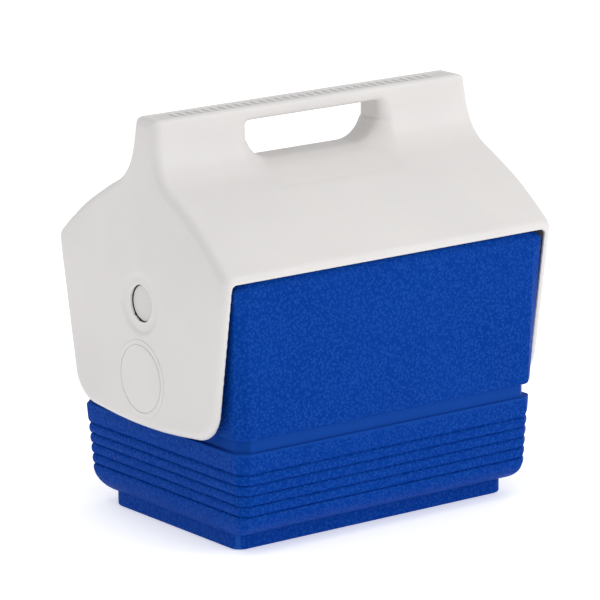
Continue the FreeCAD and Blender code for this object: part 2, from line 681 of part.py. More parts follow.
def grip_strip():
    """Shallow strip along the top of the handle, with a row of raised ribs left in it."""
    half_length = RIDGE_HALF_X - STRIP_MARGIN
    floor_z = HEIGHT - STRIP_DEPTH
    strip = Part.makeBox(2 * half_length, STRIP_WIDTH, 2,
                         V(-half_length, -STRIP_WIDTH / 2, floor_z))
    first = -RIB_PITCH * (RIB_COUNT - 1) / 2
    ribs = [Part.makeBox(RIB_WIDTH, RIB_LENGTH, 3,
                         V(first + i * RIB_PITCH - RIB_WIDTH / 2, -RIB_LENGTH / 2, floor_z - 1))
            for i in range(RIB_COUNT)]
    return strip.cut(fuse_all(ribs))


def lid_hollow():
    inner = lid_prism(lid_outline(LID_WALL), ARM_WALL)
    return inner.cut(tunnel(LID_WALL))


def lid_shell():
    """Tent lid with its handle and both arms, one moulding with even walls."""
    shell = lid_outside().cut(tunnel(0)).cut(lid_hollow())
    hub = arm_hub()
    bores = arm_bores()
    shell = shell.fuse([hub, mirrored_x(hub)])
    shell = shell.cut([bores, mirrored_x(bores)])
    return shell.cut([button_dish(), grip_strip()])


def lid_liner():
    """Vaulted panel inside the lid: part of a tube about the hinge axis."""
    vault = ring_x(SWING_RADIUS + TUB_WALL, SWING_RADIUS, -VAULT_HALF_X, VAULT_HALF_X, PIVOT_Z)
    keep = Part.makeBox(2 * VAULT_HALF_X, 2 * VAULT_HALF_Y, 100,
                        V(-VAULT_HALF_X, -VAULT_HALF_Y, PARTING_Z))
    return vault.common(keep)


# ---------------------------------------------------------------- write the parts
def main():
    os.makedirs("parts", exist_ok=True)
    save(outer_shell(), "outer_shell")
    save(inner_liner(), "inner_liner")
    save(body_insulation(), "body_insulation")
    save(foam_plug(), "foam_plug")
    for maker, name in ((pivot_socket, "pivot_socket"), (pivot_pin, "pivot_pin"),
                        (pivot_washer, "pivot_washer"), (pivot_cap, "pivot_cap")):
        right = maker()
        save(right, name + "_right")
        save(mirrored_x(right), name + "_left")
    save(push_button(), "push_button")
    save(button_guide(), "button_guide")
    save(button_spring_seat(), "button_spring_seat")
    save(button_spring(), "button_spring")
    save(lid_shell(), "lid_shell")
    save(lid_liner(), "lid_liner")


main()
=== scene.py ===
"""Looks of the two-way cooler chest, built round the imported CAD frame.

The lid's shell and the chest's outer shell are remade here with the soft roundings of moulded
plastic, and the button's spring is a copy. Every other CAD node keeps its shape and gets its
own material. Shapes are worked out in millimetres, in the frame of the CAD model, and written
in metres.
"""

import json
import math

import bmesh
import bpy
import numpy as np
import openvdb
from mathutils import Matrix, Vector


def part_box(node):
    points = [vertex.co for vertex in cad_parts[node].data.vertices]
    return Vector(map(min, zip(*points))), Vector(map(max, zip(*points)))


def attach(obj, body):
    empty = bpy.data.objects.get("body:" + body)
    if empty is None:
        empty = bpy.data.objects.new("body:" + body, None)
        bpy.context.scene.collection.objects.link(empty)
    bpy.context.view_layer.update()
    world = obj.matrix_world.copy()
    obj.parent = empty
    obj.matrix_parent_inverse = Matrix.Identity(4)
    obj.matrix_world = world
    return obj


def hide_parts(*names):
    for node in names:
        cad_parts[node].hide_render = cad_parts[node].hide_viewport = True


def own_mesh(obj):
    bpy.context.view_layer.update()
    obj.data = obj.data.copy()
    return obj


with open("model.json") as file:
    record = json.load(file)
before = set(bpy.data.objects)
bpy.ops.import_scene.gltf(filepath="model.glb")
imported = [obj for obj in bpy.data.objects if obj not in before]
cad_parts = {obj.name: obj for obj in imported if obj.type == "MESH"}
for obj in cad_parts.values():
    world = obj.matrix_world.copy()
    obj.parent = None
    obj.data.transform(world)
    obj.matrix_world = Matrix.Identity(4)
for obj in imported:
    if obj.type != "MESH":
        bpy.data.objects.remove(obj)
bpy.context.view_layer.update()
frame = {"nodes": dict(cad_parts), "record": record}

MM = 0.001


def node_box(node):
    """Lowest and highest corner of a CAD node, in millimetres."""
    low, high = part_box(node)
    return np.array(low) / MM, np.array(high) / MM


LID_LOW, LID_HIGH = node_box("lid_shell")
SHELL_TOP_Z = node_box("outer_shell")[1][2]
CAP_LOW, CAP_HIGH = node_box("pivot_cap_right")
BUTTON_LOW, BUTTON_HIGH = node_box("push_button")

ARM_FACE_X = LID_HIGH[0]
HEIGHT = LID_HIGH[2]
LID_HALF_DEPTH = LID_HIGH[1]
PIVOT_Z = (CAP_LOW[2] + CAP_HIGH[2]) / 2
BUTTON_Z = (BUTTON_LOW[2] + BUTTON_HIGH[2]) / 2

# ---------------------------------------------------------------- mesh helpers


def add_mesh(name, points, faces):
    """Mesh object from points in millimetres."""
    mesh = bpy.data.meshes.new(name)
    mesh.from_pydata((np.asarray(points, float) * MM).tolist(), [], faces)
    mesh.validate()
    obj = bpy.data.objects.new(name, mesh)
    bpy.context.scene.collection.objects.link(obj)
    return obj


def outward_normals(obj):
    """Turns every face so that its normal points out of the solid."""
    bm = bmesh.new()
    bm.from_mesh(obj.data)
    bmesh.ops.recalc_face_normals(bm, faces=bm.faces)
    bm.to_mesh(obj.data)
    bm.free()


def shade(obj, sharp_angle=35.0):
    """Smooth shading, with a crease where faces meet at more than the angle."""
    obj.data.shade_smooth()
    obj.data.set_sharp_from_angle(angle=math.radians(sharp_angle))


def arc(centre, radius, start, end, count):
    """Points on an arc, angles in degrees."""
    angles = np.radians(np.linspace(start, end, count))
    return [(centre[0] + radius * math.cos(a), centre[1] + radius * math.sin(a))
            for a in angles]


def rounded_corner(before, corner, after, radius, count):
    """Points of the arc that rounds a corner of a flat outline."""
    before, corner, after = (np.asarray(p, float) for p in (before, corner, after))
    back = (before - corner) / np.linalg.norm(before - corner)
    ahead = (after - corner) / np.linalg.norm(after - corner)
    half_angle = math.acos(np.clip(back @ ahead, -1, 1)) / 2
    bisector = (back + ahead) / np.linalg.norm(back + ahead)
    centre = corner + bisector * radius / math.sin(half_angle)
    reach = radius / math.tan(half_angle)
    start = corner + back * reach - centre
    end = corner + ahead * reach - centre
    turn = math.acos(np.clip(start @ end / radius ** 2, -1, 1))
    shares = np.linspace(0, 1, count)
    return [tuple(centre + (start * math.sin((1 - s) * turn) + end * math.sin(s * turn))
                  / math.sin(turn)) for s in shares]


# ---------------------------------------------------------------- lid: field of distances
CELL = 1.0                # grid step of the lid's field
FIELD_MARGIN = 3          # cells round the lid, and the field's reach in cells
LID_WALL = 2.5
PARTING_Z = 169.35        # lower edge of the lid's long sides
RIDGE_HALF_X = 117.9
HANDLE_HALF_Y = 10.9
ARM_INNER_X = ARM_FACE_X - 6.2
ARM_CORNER = 3.0
ARM_EDGE_SOFTNESS = 1.0
END_ROUNDING = 5.8
END_CREASE_SOFTNESS = 1.2
HUB_R = 12.5
HUB_X = (113.5, 122.0)
CAP_SEAT_R = 26.0
CAP_SEAT_X = (120.0, 122.6)

TUNNEL_HALF_X = 49.8
TUNNEL_TOP_Z = 247.0
TUNNEL_FLOOR_Z = 222.3    # at the middle of the handle
FLAT_HALF_Y = 9.0         # the floor is flat this far from the middle, then falls to the mouths
FLOOR_BEND = 2.0
FLOOR_END_Y = 36.0
TUNNEL_DROP = 8.5
TUNNEL_FLOOR_CORNER = 19.0
TUNNEL_TOP_CORNER = 3.0
TUNNEL_FLARE = 8.5
FLARE_FROM_Y = 7.0
FLARE_RUN = 13.0
MOUTH_Y = 31.0
MOUTH_SOFTNESS = 4.5

BUTTON_HOLE_R = 11.6
HOLE_SNAP = 0.8           # points this near the hole's wall are moved onto it
HOLE_INNER_DEPTH = 2.8    # of the hole's inner edge, below the arm's face
DISH_R = 20.0
DISH_SLOPE = 3.6
DISH_DEPTH = 1.4

STRIP_HALF_X = RIDGE_HALF_X - 9
STRIP_HALF_Y = 6.0
STRIP_DEPTH = 0.6
RIB_COUNT = 33
RIB_PITCH = 6.0
RIB_WIDTH = 2.2
RIB_LENGTH = 8.0
RIB_HEIGHT = 1.6          # its lower part is sunk in the strip
RIB_EDGE = 0.35


def smooth_max(a, b, k):
    """Larger of two fields, blended over a width of k so that the edge is rounded."""
    h = np.maximum(k - np.abs(a - b), 0) / k
    return np.maximum(a, b) + h * h * k / 4


def smooth_step(value, width):
    """Nought below nought, one above the width, and an S-shaped rise between."""
    share = np.clip(value / width, 0, 1)
    return share * share * (3 - 2 * share)


def rounded_both(a, b, radius):
    """Where two solids at right angles overlap, with their common edge rounded."""
    u = np.maximum(a + radius, 0)
    v = np.maximum(b + radius, 0)
    return np.minimum(np.maximum(a, b), -radius) + np.hypot(u, v)


def spline_through(points, steps):
    """Points of a Catmull-Rom curve, from the second point to the last but one."""
    p = np.asarray(points, float)
    path = []
    for i in range(1, len(p) - 2):
        for t in np.arange(steps) / steps:
            path.append(0.5 * (2 * p[i] + (p[i + 1] - p[i - 1]) * t
                               + (2 * p[i - 1] - 5 * p[i] + 4 * p[i + 1] - p[i + 2]) * t ** 2
                               + (3 * p[i] - p[i - 1] - 3 * p[i + 1] + p[i + 2]) * t ** 3))
    return [tuple(q) for q in path]


def lid_outline():
    """End view (y, z) of the whole lid: tent above, arms below."""
    ridge = (HANDLE_HALF_Y, HEIGHT)
    neck = (12.7, 240.0)
    above_neck = (12.0, 246.0)
    brow = (LID_HALF_DEPTH, 173.6)
    skirt = (LID_HALF_DEPTH, PARTING_Z)
    heel = (71.64, 71.36)
    toe = (0.0, 64.2)
    shoulder = [above_neck, neck, (14.8, 231.0), (18.6, 223.6), (25.5, 216.6), (40.0, 208.7),
                (60.5, 196.5), (76.0, 184.6), (83.5, 178.1), (87.0, 175.1)]
    half = rounded_corner((0, HEIGHT), ridge, neck, 2.6, 12)
    half += spline_through(shoulder, 14)
    half += rounded_corner(shoulder[-2], brow, skirt, 7.5, 12)
    half += rounded_corner(brow, skirt, heel, 6.0, 5)
    half += rounded_corner(skirt, heel, toe, 23.0, 24)
    under = rounded_corner(heel, toe, (-heel[0], heel[1]), 400.0, 25)
    half += [point for point in under if point[0] > 0]
    return np.array(half + [(-y, z) for y, z in reversed(half)])


def outline_distance(y, z, outline):
    """Signed distance to the closed outline, negative inside."""
    nearest = np.full(np.broadcast(y, z).shape, np.inf)
    inside = np.zeros(nearest.shape, bool)
    for (ay, az), (by, bz) in zip(outline, np.roll(outline, -1, axis=0)):
        ey, ez = by - ay, bz - az
        t = np.clip(((y - ay) * ey + (z - az) * ez) / (ey * ey + ez * ez), 0, 1)
        nearest = np.minimum(nearest, np.hypot(y - ay - t * ey, z - az - t * ez))
        if ez:
            crossing = ay + (z - az) * ey / ez
            inside ^= ((az > z) != (bz > z)) & (y < crossing)
    return np.where(inside, -nearest, nearest)


def end_distance(x, z):
    """Distance to the two end faces, which lean in above the parting line."""
    lean_x = ARM_FACE_X - RIDGE_HALF_X
    lean_z = HEIGHT - PARTING_Z
    upright = np.abs(x) - ARM_FACE_X
    leaning = (upright * lean_z + (z - PARTING_Z) * lean_x) / math.hypot(lean_x, lean_z)
    return smooth_max(upright, leaning, END_CREASE_SOFTNESS)


def tunnel_distance(x, y, z):
    """Distance to the finger tunnel, which opens out towards both mouths."""
    side = TUNNEL_HALF_X + TUNNEL_FLARE * smooth_step(np.abs(y) - FLARE_FROM_Y, FLARE_RUN)
    past_flat = np.minimum(np.abs(y), FLOOR_END_Y) - FLAT_HALF_Y
    slope = TUNNEL_DROP / (MOUTH_Y - FLAT_HALF_Y)
    floor = TUNNEL_FLOOR_Z - slope * (past_flat + np.hypot(past_flat, FLOOR_BEND)) / 2
    middle = (floor + TUNNEL_TOP_Z) / 2
    corner = np.where(z < middle, TUNNEL_FLOOR_CORNER, TUNNEL_TOP_CORNER)
    out_x = np.abs(x) - side + corner
    out_z = np.abs(z - middle) - (TUNNEL_TOP_Z - floor) / 2 + corner
    outside = np.hypot(np.maximum(out_x, 0), np.maximum(out_z, 0))
    return np.minimum(np.maximum(out_x, out_z), 0) + outside - corner


def hinge_disc_distance(x, y, z, radius, span_x):
    """Distance to two discs on the hinge axis, one in each arm."""
    near_x, far_x = span_x
    radial = np.hypot(y, z - PIVOT_Z) - radius
    return np.maximum(radial, np.abs(np.abs(x) - (near_x + far_x) / 2) - (far_x - near_x) / 2)


def lid_field(x, y, z):
    """Signed distance to the lid's moulding, negative in the plastic."""
    tent = outline_distance(y, z, lid_outline())
    block = rounded_both(tent, end_distance(x, z), END_ROUNDING)
    block = smooth_max(block, -tunnel_distance(x, y, z), MOUTH_SOFTNESS)
    shell = np.maximum(block, -(block + LID_WALL))
    between_arms = rounded_both(np.abs(x) - ARM_INNER_X, z - PARTING_Z, ARM_CORNER)
    shell = smooth_max(shell, -between_arms, ARM_EDGE_SOFTNESS)
    hubs = hinge_disc_distance(x, y, z, HUB_R, HUB_X)
    seats = hinge_disc_distance(x, y, z, CAP_SEAT_R, CAP_SEAT_X)
    shell = np.minimum(shell, np.minimum(hubs, seats))
    strip = np.maximum(np.abs(y) - STRIP_HALF_Y, np.abs(x) - STRIP_HALF_X)
    strip = np.maximum(strip, HEIGHT - STRIP_DEPTH - z)
    shell = smooth_max(shell, -strip, STRIP_DEPTH)
    return dished(shell, x, y, z)


def dished(shell, x, y, z):
    """Cuts the thumb dish and the button's hole out of the left arm."""
    radial = np.hypot(y, z - BUTTON_Z)
    depth = DISH_DEPTH * smooth_step(DISH_R - radial, DISH_SLOPE)
    hole = np.maximum(radial - BUTTON_HOLE_R, x)
    return np.maximum(np.maximum(shell, -(x + ARM_FACE_X - depth)), -hole)


def mesh_from_field(name, field, low, high, cell):
    """Mesh of the surface where the field is nought, on a grid of the given step."""
    margin = FIELD_MARGIN * cell
    axes = [np.arange(a - margin, b + margin, cell) for a, b in zip(low, high)]
    x = axes[0][:, None, None]
    y = axes[1][None, :, None]
    z = axes[2][None, None, :]
    values = field(x, y, z).astype(np.float32)
    grid = openvdb.FloatGrid(background=margin)
    grid.copyFromArray(np.clip(values, -margin, margin))
    points, quads = grid.convertToQuads(isovalue=0)
    points = np.asarray(points) * cell + np.array([a[0] for a in axes])
    return add_mesh(name, points, quads.tolist())


def trim_button_hole(obj):
    """Squares up the edge of the button hole, whose wall runs from the dish to the inside."""
    dish_x = DISH_DEPTH - ARM_FACE_X
    inside_x = HOLE_INNER_DEPTH - ARM_FACE_X
    for vertex in obj.data.vertices:
        x, y, z = vertex.co / MM
        radial = math.hypot(y, z - BUTTON_Z)
        if x < -ARM_INNER_X and abs(radial - BUTTON_HOLE_R) < HOLE_SNAP:
            scale = BUTTON_HOLE_R / radial
            wall_x = dish_x if x < (dish_x + inside_x) / 2 else inside_x
            vertex.co = Vector((wall_x, y * scale, BUTTON_Z + (z - BUTTON_Z) * scale)) * MM


def make_grip_ribs():
    """Raised ribs in the strip along the top of the handle."""
    bm = bmesh.new()
    size = Matrix.Diagonal((RIB_WIDTH * MM, RIB_LENGTH * MM, RIB_HEIGHT * MM, 1))
    for i in range(RIB_COUNT):
        x = (i - (RIB_COUNT - 1) / 2) * RIB_PITCH
        centre = Vector((x, 0, HEIGHT - RIB_HEIGHT / 2)) * MM
        bmesh.ops.create_cube(bm, size=1, matrix=Matrix.Translation(centre) @ size)
    bmesh.ops.bevel(bm, geom=list(bm.edges), offset=RIB_EDGE * MM, segments=3, affect="EDGES")
    mesh = bpy.data.meshes.new("grip_ribs")
    bm.to_mesh(mesh)
    bm.free()
    obj = bpy.data.objects.new("grip_ribs", mesh)
    bpy.context.scene.collection.objects.link(obj)
    return obj


def join(objects):
    """Makes one object of several, under the first one's name."""
    bpy.ops.object.select_all(action="DESELECT")
    for obj in objects:
        obj.select_set(True)
    bpy.context.view_layer.objects.active = objects[0]
    bpy.ops.object.join()
    return objects[0]


def make_lid():
    """The lid's moulding: shoulders, handle with its tunnel, arms and grip ribs."""
    obj = mesh_from_field("lid_moulding", lid_field, LID_LOW, LID_HIGH, CELL)
    outward_normals(obj)
    trim_button_hole(obj)
    join([obj, make_grip_ribs()])
    shade(obj, 40)
    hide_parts("lid_shell")
    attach(obj, "lid")
    return obj


# ---------------------------------------------------------------- outer shell: stack of rings
SIDE_STEPS = 24
CUT_STEPS = 3
CORNER_POINTS = 5

BAND_HALF = (112.2, 85.3)
BAND_TOP_Z = 64.7
BAND_EDGE_R = 1.6
BAND_CORNER = 6.8         # how much of each corner is cut off, as with FOOT_CUT
BAND_CORNER_LEAST = 2.0
BAND_ROUND = 0.6
BAND_DRAFT = 0.075
GROOVE_TOP_Z = 51.3
GROOVE_PITCH = 6.54
GROOVE_COUNT = 5
GROOVE_DEPTH = 1.5
LOWEST_GROOVE_Z = GROOVE_TOP_Z - (GROOVE_COUNT - 1) * GROOVE_PITCH
ROLL_TOP_Z = LOWEST_GROOVE_Z - 2.2
ROLL_TURN = 68            # degrees
END_ROLL = 6.0
SIDE_ROLL = 15.0
RECESS_DEPTH = 3.0
RECESS_ROUND = 1.2

PANEL_BOTTOM_Z = 72.8
PANEL_TOP_Z = 164.5
PANEL_EDGE_R = 1.8
PANEL_ROUND = 2.0
PANEL_BOTTOM = (112.6, 86.0)    # half sizes along X and Y
PANEL_TOP = (116.0, 89.5)
RIM_EDGE = (112.4, 85.9)
LOW_FACET = (6.9, 6.9)          # what the corner facet takes off along X and Y
HIGH_FACET = (8.3, 2.6)
SHELL_WALL = 2.6
INNER_KNEE = (103.0, 76.0)
INNER_FLOOR_Z = 4.6

FOOT_HALF = (102.0, 65.8)
FOOT_CUT = 4.1
FOOT_ROUND = 6.8
FOOT_HEIGHT = 9.5
FOOT_EDGE_R = 1.5
BASE_RIM = 13.0
BASE_RECESS = 2.0

END_WALL_X = (105, 130)         # between these, the bores go through an end wall
SOCKET_POCKET_R = 15.0
GUIDE_POCKET_R = 16.7


def ring(half_x, half_y, cut_x, cut_y, radius, z):
    """Points round a rectangle with cut and rounded corners, anticlockwise."""
    corners = [(half_x, cut_y - half_y), (half_x, half_y - cut_y),
               (half_x - cut_x, half_y), (cut_x - half_x, half_y),
               (-half_x, half_y - cut_y), (-half_x, cut_y - half_y),
               (cut_x - half_x, -half_y), (half_x - cut_x, -half_y)]
    arcs = [rounded_corner(corners[i - 1], corners[i], corners[(i + 1) % 8], radius,
                           CORNER_POINTS) for i in range(8)]
    points = []
    for i in range(8):
        start, end = np.array(arcs[i][-1]), np.array(arcs[(i + 1) % 8][0])
        points += arcs[i]
        steps = SIDE_STEPS if i % 2 == 0 else CUT_STEPS
        points += [tuple(start + (end - start) * s / steps) for s in range(1, steps)]
    return [(px, py, z) for px, py in points]


def skin(name, rings):
    """Quads between rings of equal length, and a face over each end."""
    count = len(rings[0])
    points = [p for one in rings for p in one]
    faces = [tuple(reversed(range(count))), tuple(range(len(points) - count, len(points)))]
    for level in range(len(rings) - 1):
        base = level * count
        for i in range(count):
            j = (i + 1) % count
            faces.append((base + i, base + j, base + count + j, base + count + i))
    return add_mesh(name, points, faces)


def band_profile():
    """(inset, z) down the side of the lower band, from the recess to below the grooves."""
    lowest = LOWEST_GROOVE_Z
    grooves = [lowest + i * GROOVE_PITCH for i in range(GROOVE_COUNT)]
    top = grooves[-1]
    points = arc((BAND_EDGE_R, BAND_TOP_Z - BAND_EDGE_R), BAND_EDGE_R, 90, 180, 7)
    points += [(0.0, top + 8.0), (0.0, top + 3.2), (0.12, top + 2.3), (0.5, top + 1.3),
               (1.0, top + 0.55), (GROOVE_DEPTH, top)]
    for low, high in zip(reversed(grooves[:-1]), reversed(grooves[1:])):
        for s in np.linspace(0, 1, 13)[1:]:
            bulge = (1 - (2 * s - 1) ** 2) ** 0.5
            points.append((GROOVE_DEPTH * (1 - bulge), high + (low - high) * s))
    points += [(0.55, lowest - 0.5), (0.12, lowest - 1.4), (0.0, ROLL_TOP_Z)]
    return points


def band_ring(inset_x, inset_y, z):
    """Ring of the band, set in from its face. The corner's cut shrinks as the ring does."""
    draft = max(0.0, BAND_DRAFT * (BAND_TOP_Z - z))
    cut = max(BAND_CORNER - (inset_x + draft) * (2 - math.sqrt(2)), BAND_CORNER_LEAST)
    return ring(BAND_HALF[0] - draft - inset_x, BAND_HALF[1] - draft - inset_y,
                cut, cut, BAND_ROUND, z)


def roll_rings():
    """Underside of the band, which rolls in to the foot."""
    turn = math.radians(ROLL_TURN)
    rings = []
    for angle in np.linspace(turn, 0, 14)[:-1]:
        share = (1 - math.cos(angle)) / (1 - math.cos(turn))
        z = ROLL_TOP_Z - (ROLL_TOP_Z - FOOT_HEIGHT) * math.sin(angle) / math.sin(turn)
        rings.append(band_ring(END_ROLL * share, SIDE_ROLL * share, z))
    return rings


def between(low, high, share):
    """A list of numbers part of the way from one to another."""
    return [a + (b - a) * share for a, b in zip(low, high)]


def panel_rings():
    """Rings up the upper panels, from the recess to the rim."""
    rings = []
    low_z = PANEL_BOTTOM_Z + PANEL_EDGE_R
    for inset, z in arc((PANEL_EDGE_R, low_z), PANEL_EDGE_R, 270, 180, 7):
        half = [size - inset for size in PANEL_BOTTOM]
        rings.append(ring(*half, *LOW_FACET, PANEL_ROUND, z))
    for share in np.linspace(0, 1, 12)[1:]:
        rings.append(ring(*between(PANEL_BOTTOM, PANEL_TOP, share),
                          *between(LOW_FACET, HIGH_FACET, share), PANEL_ROUND,
                          low_z + (PANEL_TOP_Z - 0.6 - low_z) * share))
    for share in np.linspace(0, 1, 5)[1:]:
        rings.append(ring(*between(PANEL_TOP, RIM_EDGE, share ** 1.2), *HIGH_FACET,
                          PANEL_ROUND, PANEL_TOP_Z + (SHELL_TOP_Z - PANEL_TOP_Z) * share))
    return rings


def foot_rings():
    """From the middle of the base, round the foot's rim and up its side."""
    half_x, half_y = FOOT_HALF
    under = [(BASE_RIM + 2, BASE_RECESS), (BASE_RIM + 0.6, BASE_RECESS),
             (BASE_RIM, BASE_RECESS - 0.6), (BASE_RIM, 0.5), (BASE_RIM - 0.5, 0.0)]
    side = arc((FOOT_EDGE_R, FOOT_EDGE_R), FOOT_EDGE_R, 270, 180, 6) + [(0.0, FOOT_HEIGHT)]
    return [ring(half_x - inset, half_y - inset, FOOT_CUT, FOOT_CUT, FOOT_ROUND, z)
            for inset, z in under + side]


def recess_rings():
    """Smooth band between the lower band and the panels, with soft inner corners."""
    rings = []
    for extra, z in ((1.0, BAND_TOP_Z), (0.35, BAND_TOP_Z + 0.2), (0.0, BAND_TOP_Z + 0.9),
                     (0.0, PANEL_BOTTOM_Z - 0.6), (-0.3, PANEL_BOTTOM_Z)):
        half = [size - RECESS_DEPTH + extra for size in BAND_HALF]
        rings.append(ring(*half, BAND_CORNER, BAND_CORNER, RECESS_ROUND, z))
    return rings


def inner_rings():
    """Inside of the shell, from the top edge down to its floor."""
    stations = [(RIM_EDGE, HIGH_FACET, SHELL_TOP_Z), (PANEL_TOP, HIGH_FACET, PANEL_TOP_Z - 1),
                (PANEL_BOTTOM, LOW_FACET, PANEL_BOTTOM_Z + 3), (INNER_KNEE, LOW_FACET, 30.0),
                ((FOOT_HALF[0] - 2, FOOT_HALF[1] - 2), LOW_FACET, 14.0),
                ((FOOT_HALF[0] - 3, FOOT_HALF[1] - 3), LOW_FACET, INNER_FLOOR_Z)]
    return [ring(x - SHELL_WALL, y - SHELL_WALL, *facet, PANEL_ROUND, z)
            for (x, y), facet, z in stations]


def bore(obj, radius, side, centre_z):
    """Cuts a clean round hole along X through the end wall on one side, -1 or 1."""
    near_x, far_x = END_WALL_X
    bpy.ops.mesh.primitive_cylinder_add(
        vertices=96, radius=radius * MM, depth=(far_x - near_x) * MM,
        location=(side * (near_x + far_x) / 2 * MM, 0, centre_z * MM),
        rotation=(0, math.pi / 2, 0))
    cutter = bpy.context.object
    cut = obj.modifiers.new("bore", "BOOLEAN")
    cut.operation = "DIFFERENCE"
    cut.object = cutter
    cut.solver = "EXACT"
    bpy.context.view_layer.objects.active = obj
    bpy.ops.object.modifier_apply(modifier=cut.name)
    bpy.data.objects.remove(cutter)


def make_outer_shell():
    """The chest's outer shell, from its foot to its rim, with its wall and the end bores."""
    band = [band_ring(inset, inset, z) for inset, z in reversed(band_profile())]
    obj = skin("chest_shell", foot_rings() + roll_rings() + band + recess_rings()
               + panel_rings() + inner_rings())
    outward_normals(obj)
    bore(obj, GUIDE_POCKET_R, -1, BUTTON_Z)
    for side in (-1, 1):
        bore(obj, SOCKET_POCKET_R, side, PIVOT_Z)
    shade(obj, 38)
    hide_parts("outer_shell")
    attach(obj, "chest")
    return obj


def make_spring():
    """Copy of the CAD spring."""
    node = frame["nodes"]["button_spring"]
    obj = bpy.data.objects.new("spring_coil", node.data.copy())
    obj.matrix_world = node.matrix_world.copy()
    bpy.context.scene.collection.objects.link(obj)
    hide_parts("button_spring")
    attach(obj, "chest")
    shade(obj, 60)
    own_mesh(obj)
    return obj


# ---------------------------------------------------------------- materials
LID_COLOUR = (0.675, 0.655, 0.643)
LID_TINT = (0.645, 0.627, 0.617)
HIDDEN_BLUE = (0.004, 0.06, 0.34)
HIDDEN_BLUE_TINT = (0.003, 0.05, 0.3)
ACETAL = (0.72, 0.72, 0.70)
ACETAL_TINT = (0.66, 0.66, 0.64)


class Surface:
    """A Principled material and short ways to add nodes to it."""

    def __init__(self, name, colour, roughness, specular=0.5):
        self.material = bpy.data.materials.new(name)
        self.material.use_nodes = True
        self.tree = self.material.node_tree
        self.shader = self.tree.nodes["Principled BSDF"]
        self.shader.inputs["Base Color"].default_value = (*colour, 1)
        self.shader.inputs["Roughness"].default_value = roughness
        self.shader.inputs["Specular IOR Level"].default_value = specular
        self.place = self.tree.nodes.new("ShaderNodeTexCoord").outputs["Object"]

    def link(self, source, target):
        self.tree.links.new(source, target)

    def stretched(self, scale):
        """Coordinates squeezed by a scale along each axis, for streaks."""
        node = self.tree.nodes.new("ShaderNodeMapping")
        node.inputs["Scale"].default_value = scale
        self.link(self.place, node.inputs["Vector"])
        return node.outputs["Vector"]

    def noise(self, size, detail, place=None):
        """Noise with patches of about the size, in metres."""
        node = self.tree.nodes.new("ShaderNodeTexNoise")
        node.inputs["Scale"].default_value = 1 / size
        node.inputs["Detail"].default_value = detail
        self.link(place or self.place, node.inputs["Vector"])
        return node.outputs["Fac"]

    def cells(self, size, smoothness):
        """Height of rounded pebbles of about the size, in metres."""
        node = self.tree.nodes.new("ShaderNodeTexVoronoi")
        node.feature = "SMOOTH_F1"
        node.inputs["Scale"].default_value = 1 / size
        node.inputs["Smoothness"].default_value = smoothness
        self.link(self.place, node.inputs["Vector"])
        return node.outputs["Distance"]

    def span(self, value, from_low, from_high, to_low, to_high, smooth=False):
        """Takes one range of numbers to another, and holds at its ends."""
        node = self.tree.nodes.new("ShaderNodeMapRange")
        node.interpolation_type = "SMOOTHSTEP" if smooth else "LINEAR"
        for name, number in (("From Min", from_low), ("From Max", from_high),
                             ("To Min", to_low), ("To Max", to_high)):
            node.inputs[name].default_value = number
        self.link(value, node.inputs["Value"])
        return node.outputs["Result"]

    def maths(self, operation, a, b):
        """One sum on two sockets or numbers."""
        node = self.tree.nodes.new("ShaderNodeMath")
        node.operation = operation
        for socket, value in zip(node.inputs, (a, b)):
            if isinstance(value, (int, float)):
                socket.default_value = value
            else:
                self.link(value, socket)
        return node.outputs["Value"]

    def colour_between(self, share, low, high):
        """Mix of two colours, each given or read from a socket."""
        node = self.tree.nodes.new("ShaderNodeMix")
        node.data_type = "RGBA"
        self.link(share, node.inputs["Factor"])
        for name, colour in (("A", low), ("B", high)):
            socket = [i for i in node.inputs if i.name == name and i.type == "RGBA"][0]
            if isinstance(colour, tuple):
                socket.default_value = (*colour, 1)
            else:
                self.link(colour, socket)
        return [o for o in node.outputs if o.type == "RGBA"][0]

    def axis(self, name):
        """Place along one axis in metres, in the frame of the object."""
        node = self.tree.nodes.new("ShaderNodeSeparateXYZ")
        self.link(self.place, node.inputs["Vector"])
        return node.outputs[name]

    def pointiness(self):
        """Above a half on outward edges, below it in inward ones."""
        return self.tree.nodes.new("ShaderNodeNewGeometry").outputs["Pointiness"]

    def paint(self, colour):
        self.link(colour, self.shader.inputs["Base Color"])

    def roughen(self, value):
        self.link(value, self.shader.inputs["Roughness"])

    def bump(self, *layers):
        """Stacks (height, depth in metres) layers of relief."""
        normal = None
        for value, depth in layers:
            node = self.tree.nodes.new("ShaderNodeBump")
            node.inputs["Distance"].default_value = depth
            self.link(value, node.inputs["Height"])
            if normal:
                self.link(normal, node.inputs["Normal"])
            normal = node.outputs["Normal"]
        self.link(normal, self.shader.inputs["Normal"])


def moulded(name, colour, tint, roughness, specular=0.5):
    """Smooth moulded plastic: faint clouding, a fine skin and small changes of gloss."""
    surface = Surface(name, colour, roughness, specular)
    cloud = surface.span(surface.noise(0.06, 4), 0.35, 0.65, 0, 1)
    surface.paint(surface.colour_between(cloud, colour, tint))
    gloss = surface.noise(0.018, 5)
    surface.roughen(surface.span(gloss, 0.3, 0.7, roughness - 0.05, roughness + 0.07))
    surface.bump((surface.noise(0.0012, 4), 0.00003), (surface.noise(0.03, 2), 0.00005))
    return surface.material


